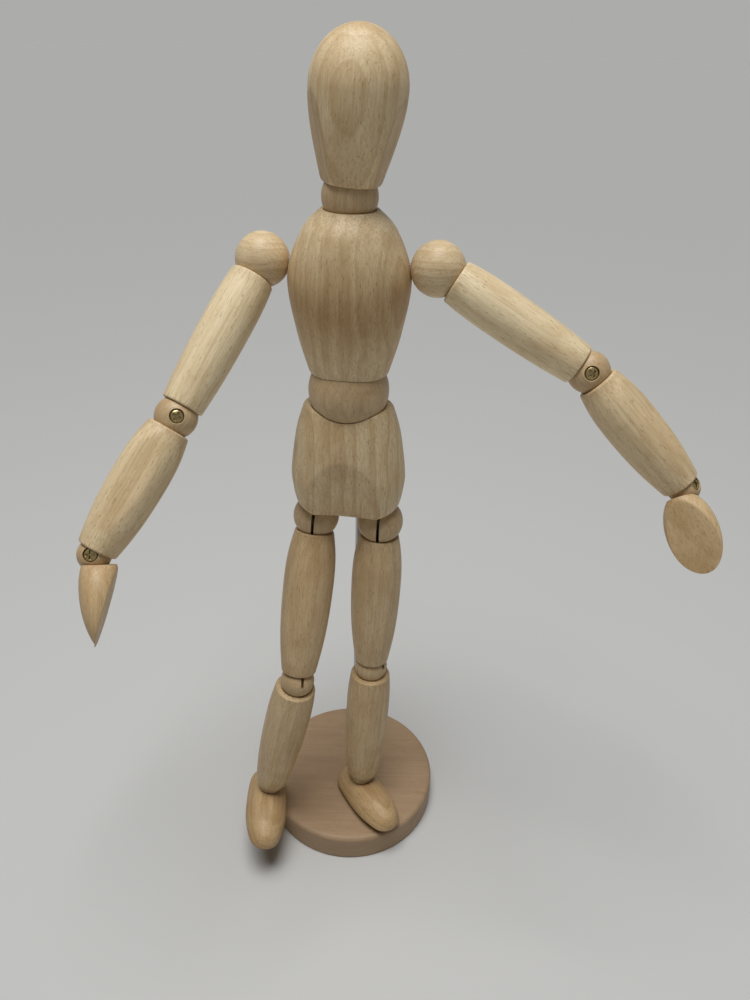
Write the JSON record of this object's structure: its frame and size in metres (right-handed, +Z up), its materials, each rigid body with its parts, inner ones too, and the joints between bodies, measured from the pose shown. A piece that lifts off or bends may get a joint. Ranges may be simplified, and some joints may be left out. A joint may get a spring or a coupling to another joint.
{
  "type": "artist mannequin",
  "caption": "Wooden artist's mannequin, pale turned limbs on slotted ball joints, held by a steel rod on a round wooden base",
  "frame": {"origin": "centre of the base's underside", "axes": "+Z up, figure faces -Y, +X to the figure's left"},
  "size_m": [0.2068, 0.1178, 0.3305],
  "materials": {
    "pale_wood": "sanded, thin clear lacquer",
    "ball_wood": "sanded, thin clear lacquer",
    "base_wood": "clear lacquer",
    "steel": "bright drawn",
    "brass": "dull"
  },
  "bodies": {
    "base": {"base": "base_wood"},
    "rod": {"support_rod": "steel"},
    "pelvis": {"pelvis": "pale_wood"},
    "waist_core": {"waist_spring": "steel"},
    "waist": {"waist_ball": "ball_wood"},
    "chest": {"chest": "pale_wood", "chest_tie": "steel", "left_shoulder_peg": "steel", "right_shoulder_peg": "steel"},
    "neck": {"neck_ball": "ball_wood"},
    "head_core": {"head_tie": "steel"},
    "head": {"head": "pale_wood"},
    "left_shoulder": {"left_shoulder_ball": "ball_wood", "left_shoulder_pin": "steel"},
    "left_upper_arm": {"left_upper_arm": "pale_wood", "left_upper_arm_tie": "steel"},
    "left_elbow": {"left_elbow_ball": "ball_wood", "left_elbow_screw": "brass"},
    "left_forearm": {"left_forearm": "pale_wood", "left_forearm_tie": "steel"},
    "left_wrist": {"left_wrist_ball": "ball_wood", "left_wrist_screw": "brass"},
    "left_hand": {"left_hand": "pale_wood"},
    "right_shoulder": {"right_shoulder_ball": "ball_wood", "right_shoulder_pin": "steel"},
    "right_upper_arm": {"right_upper_arm": "pale_wood", "right_upper_arm_tie": "steel"},
    "right_elbow": {"right_elbow_ball": "ball_wood", "right_elbow_screw": "brass"},
    "right_forearm": {"right_forearm": "pale_wood", "right_forearm_tie": "steel"},
    "right_wrist": {"right_wrist_ball": "ball_wood", "right_wrist_screw": "brass"},
    "right_hand": {"right_hand": "pale_wood"},
    "left_hip_core": {"left_hip_spring": "steel"},
    "left_hip": {"left_hip_ball": "ball_wood", "left_hip_pin": "steel"},
    "left_thigh": {"left_thigh": "pale_wood", "left_thigh_tie": "steel"},
    "left_knee": {"left_knee_ball": "ball_wood", "left_knee_pin": "steel"},
    "left_shin": {"left_shin": "pale_wood", "left_shin_tie": "steel"},
    "left_ankle": {"left_ankle_ball": "ball_wood", "left_ankle_pin": "steel"},
    "left_foot": {"left_foot": "pale_wood"},
    "right_hip_core": {"right_hip_spring": "steel"},
    "right_hip": {"right_hip_ball": "ball_wood", "right_hip_pin": "steel"},
    "right_thigh": {"right_thigh": "pale_wood", "right_thigh_tie": "steel"},
    "right_knee": {"right_knee_ball": "ball_wood", "right_knee_pin": "steel"},
    "right_shin": {"right_shin": "pale_wood", "right_shin_tie": "steel"},
    "right_ankle": {"right_ankle_ball": "ball_wood", "right_ankle_pin": "steel"},
    "right_foot": {"right_foot": "pale_wood"}
  },
  "joints": [
    {"name": "rod_swivel", "type": "hinge", "parent": "base", "child": "rod", "pos_m": [0.003, 0.0065, 0.0135], "axis": [0, 0, 1], "continuous": true},
    {"name": "pelvis_lift", "type": "slide", "parent": "rod", "child": "pelvis", "axis": [0, 0, 1], "range_m": [0, 0.018]},
    {"name": "waist_turn", "type": "hinge", "parent": "pelvis", "child": "waist_core", "pos_m": [-0.00222, -0.002, 0.21971], "axis": [0, 0, 1], "range_deg": [-50, 50]},
    {"name": "waist_bend", "type": "hinge", "parent": "waist_core", "child": "waist", "pos_m": [-0.00222, -0.002, 0.21971], "axis": [0.9945, -0.1045, 0], "range_deg": [-16, 16]},
    {"name": "waist_lean", "type": "hinge", "parent": "waist", "child": "chest", "pos_m": [-0.00222, -0.002, 0.21971], "axis": [0.1045, 0.9945, 0], "range_deg": [-14, 14]},
    {"name": "neck_nod", "type": "hinge", "parent": "chest", "child": "neck", "pos_m": [-0.00222, -0.002, 0.28441], "axis": [0.9945, -0.1045, 0], "range_deg": [-18, 18]},
    {"name": "head_lean", "type": "hinge", "parent": "neck", "child": "head_core", "pos_m": [-0.00222, -0.002, 0.28441], "axis": [0.1045, 0.9945, 0], "range_deg": [-22, 13]},
    {"name": "head_turn", "type": "hinge", "parent": "head_core", "child": "head", "pos_m": [-0.00222, -0.002, 0.28441], "axis": [0.078, -0.0082, 0.9969], "range_deg": [-80, 80]},
    {"name": "left_shoulder_swivel", "type": "hinge", "parent": "chest", "child": "left_shoulder", "pos_m": [0.02652, -0.00502, 0.26361], "axis": [-0.9945, 0.1045, 0], "range_deg": [-90, 90]},
    {"name": "left_shoulder_swing", "type": "hinge", "parent": "left_shoulder", "child": "left_upper_arm", "pos_m": [0.02652, -0.00502, 0.26361], "axis": [-0.1002, -0.9531, 0.2857], "range_deg": [-50, 28]},
    {"name": "left_elbow_bend", "type": "hinge", "parent": "left_upper_arm", "child": "left_elbow", "pos_m": [0.07674, -0.01875, 0.23541], "axis": [-0.0911, -0.9495, 0.3002], "range_deg": [-36, 67]},
    {"name": "left_forearm_twist", "type": "hinge", "parent": "left_elbow", "child": "left_forearm", "pos_m": [0.07674, -0.01875, 0.23541], "axis": [-0.6791, 0.2797, 0.6786], "range_deg": [-120, 120]},
    {"name": "left_wrist_bend", "type": "hinge", "parent": "left_forearm", "child": "left_wrist", "pos_m": [0.11124, -0.03296, 0.20094], "axis": [0.4871, -0.52, 0.7017], "range_deg": [-2, 66]},
    {"name": "left_hand_twist", "type": "hinge", "parent": "left_wrist", "child": "left_hand", "pos_m": [0.11124, -0.03296, 0.20094], "axis": [-0.2632, 0.6787, 0.6856], "range_deg": [-90, 90]},
    {"name": "right_shoulder_swivel", "type": "hinge", "parent": "chest", "child": "right_shoulder", "pos_m": [-0.03096, 0.00102, 0.26361], "axis": [0.9945, -0.1045, 0], "range_deg": [-90, 90]},
    {"name": "right_shoulder_swing", "type": "hinge", "parent": "right_shoulder", "child": "right_upper_arm", "pos_m": [-0.03096, 0.00102, 0.26361], "axis": [0.0816, 0.7762, -0.6252], "range_deg": [-15, 66]},
    {"name": "right_elbow_bend", "type": "hinge", "parent": "right_upper_arm", "child": "right_elbow", "pos_m": [-0.05679, -0.03072, 0.22083], "axis": [0.284, -0.844, 0.4549], "range_deg": [-50, 53]},
    {"name": "right_forearm_twist", "type": "hinge", "parent": "right_elbow", "child": "right_forearm", "pos_m": [-0.05679, -0.03072, 0.22083], "axis": [0.4644, 0.5362, 0.7049], "range_deg": [-120, 120]},
    {"name": "right_wrist_bend", "type": "hinge", "parent": "right_forearm", "child": "right_wrist", "pos_m": [-0.08038, -0.05796, 0.18502], "axis": [0.088, -0.8199, 0.5657], "range_deg": [-62, 2]},
    {"name": "right_hand_twist", "type": "hinge", "parent": "right_wrist", "child": "right_hand", "pos_m": [-0.08038, -0.05796, 0.18502], "axis": [-0.042, 0.5643, 0.8245], "range_deg": [-90, 90]},
    {"name": "left_hip_turn", "type": "hinge", "parent": "pelvis", "child": "left_hip_core", "pos_m": [0.01041, -0.00333, 0.16501], "axis": [0, 0, 1], "range_deg": [-24, 20]},
    {"name": "left_hip_splay", "type": "hinge", "parent": "left_hip_core", "child": "left_hip", "pos_m": [0.01041, -0.00333, 0.16501], "axis": [0.1045, 0.9945, 0], "range_deg": [-8, 3.5]},
    {"name": "left_hip_swing", "type": "hinge", "parent": "left_hip", "child": "left_thigh", "pos_m": [0.01041, -0.00333, 0.16501], "axis": [0.9943, -0.1045, -0.0192], "range_deg": [-50, 1]},
    {"name": "left_knee_bend", "type": "hinge", "parent": "left_thigh", "child": "left_knee", "pos_m": [0.00843, -0.00896, 0.09285], "axis": [0.5861, 0.8064, -0.079], "range_deg": [-48, 6]},
    {"name": "left_shin_twist", "type": "hinge", "parent": "left_knee", "child": "left_shin", "pos_m": [0.00843, -0.00896, 0.09285], "axis": [0.0415, 0.0675, 0.9969], "range_deg": [-45, 25]},
    {"name": "left_ankle_bend", "type": "hinge", "parent": "left_shin", "child": "left_ankle", "pos_m": [0.00567, -0.01345, 0.02656], "axis": [0.9647, 0.2569, -0.0576], "range_deg": [-7, 7]},
    {"name": "left_foot_twist", "type": "hinge", "parent": "left_ankle", "child": "left_foot", "pos_m": [0.00567, -0.01345, 0.02656], "axis": [0.0379, 0.081, 0.996], "range_deg": [-40, 25]},
    {"name": "right_hip_turn", "type": "hinge", "parent": "pelvis", "child": "right_hip_core", "pos_m": [-0.01485, -0.00067, 0.16501], "axis": [0, 0, 1], "range_deg": [-40, 40]},
    {"name": "right_hip_splay", "type": "hinge", "parent": "right_hip_core", "child": "right_hip", "pos_m": [-0.01485, -0.00067, 0.16501], "axis": [0.1045, 0.9945, 0], "range_deg": [-8, 9]},
    {"name": "right_hip_swing", "type": "hinge", "parent": "right_hip", "child": "right_thigh", "pos_m": [-0.01485, -0.00067, 0.16501], "axis": [0.9919, -0.1042, -0.0732], "range_deg": [-48, 5]},
    {"name": "right_knee_bend", "type": "hinge", "parent": "right_thigh", "child": "right_knee", "pos_m": [-0.02221, -0.02252, 0.09637], "axis": [0.9166, 0.342, -0.2072], "range_deg": [-64, 30]},
    {"name": "right_shin_twist", "type": "hinge", "parent": "right_knee", "child": "right_shin", "pos_m": [-0.02221, -0.02252, 0.09637], "axis": [0.2151, 0.0152, 0.9765], "range_deg": [-45, 45]},
    {"name": "right_ankle_bend", "type": "hinge", "parent": "right_shin", "child": "right_ankle", "pos_m": [-0.03651, -0.02353, 0.03144], "axis": [0.9612, 0.1737, -0.2144], "range_deg": [-33, 31]},
    {"name": "right_foot_twist", "type": "hinge", "parent": "right_ankle", "child": "right_foot", "pos_m": [-0.03651, -0.02353, 0.03144], "axis": [0.2195, -0.0106, 0.9756], "range_deg": [-40, 40]}
  ]
}
